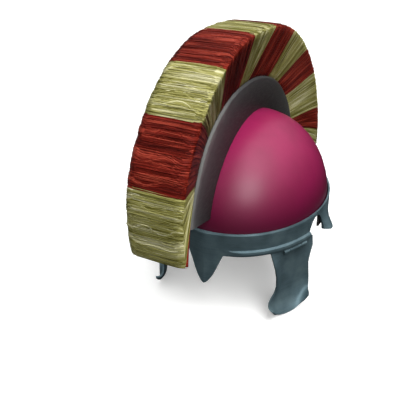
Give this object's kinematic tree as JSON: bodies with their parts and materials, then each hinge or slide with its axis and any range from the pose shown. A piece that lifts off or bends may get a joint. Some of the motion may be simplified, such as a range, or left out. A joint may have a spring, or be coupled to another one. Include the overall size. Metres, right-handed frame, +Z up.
{
  "type": "crested legionary helmet",
  "caption": "Round-bowled helmet with nose guard, flared neck guard, hinged cheek guards and a striped fore-and-aft hair crest.",
  "frame": {"origin": "middle of the head opening, in the plane of the bowl's rim, where the helmet sits on the head", "axes": "the helmet faces -Y, +Z is up and +X is the wearer's left; the crest lies in the plane X = 0 and runs along Y"},
  "size_m": [0.22, 0.425, 0.3067],
  "materials": {
    "crimson_enamel": "glossy crimson enamel over sheet steel",
    "grey_steel": "blue-grey burnished sheet steel",
    "gunmetal": "blackened steel, polished at the rim",
    "straw_hair": "straight straw-coloured horsehair",
    "red_hair": "straight dark red dyed horsehair"
  },
  "bodies": {
    "helmet": {"bowl": "crimson_enamel", "brow_band": "grey_steel", "neck_guard": "grey_steel", "hinge_pin_left": "gunmetal", "hinge_pin_right": "gunmetal", "crest_holder": "gunmetal", "hair_bundle_00": "red_hair", "hair_bundle_01": "straw_hair", "hair_bundle_02": "red_hair", "hair_bundle_03": "straw_hair", "hair_bundle_04": "red_hair", "hair_bundle_05": "straw_hair", "hair_bundle_06": "red_hair", "hair_bundle_07": "straw_hair", "hair_bundle_08": "red_hair", "hair_bundle_09": "straw_hair", "hair_bundle_10": "red_hair", "hair_bundle_11": "straw_hair"},
    "left_cheek": {"cheek_guard_left": "grey_steel"},
    "right_cheek": {"cheek_guard_right": "grey_steel"}
  },
  "joints": [
    {"name": "left_cheek_hinge", "type": "hinge", "parent": "helmet", "child": "left_cheek", "pos_m": [0.08269, -0.05999, -0.0031], "axis": [-0.452, -0.892, 0], "range_deg": [0, 100]},
    {"name": "right_cheek_hinge", "type": "hinge", "parent": "helmet", "child": "right_cheek", "pos_m": [-0.08269, -0.05999, -0.0031], "axis": [-0.452, 0.892, 0], "range_deg": [0, 100]}
  ]
}
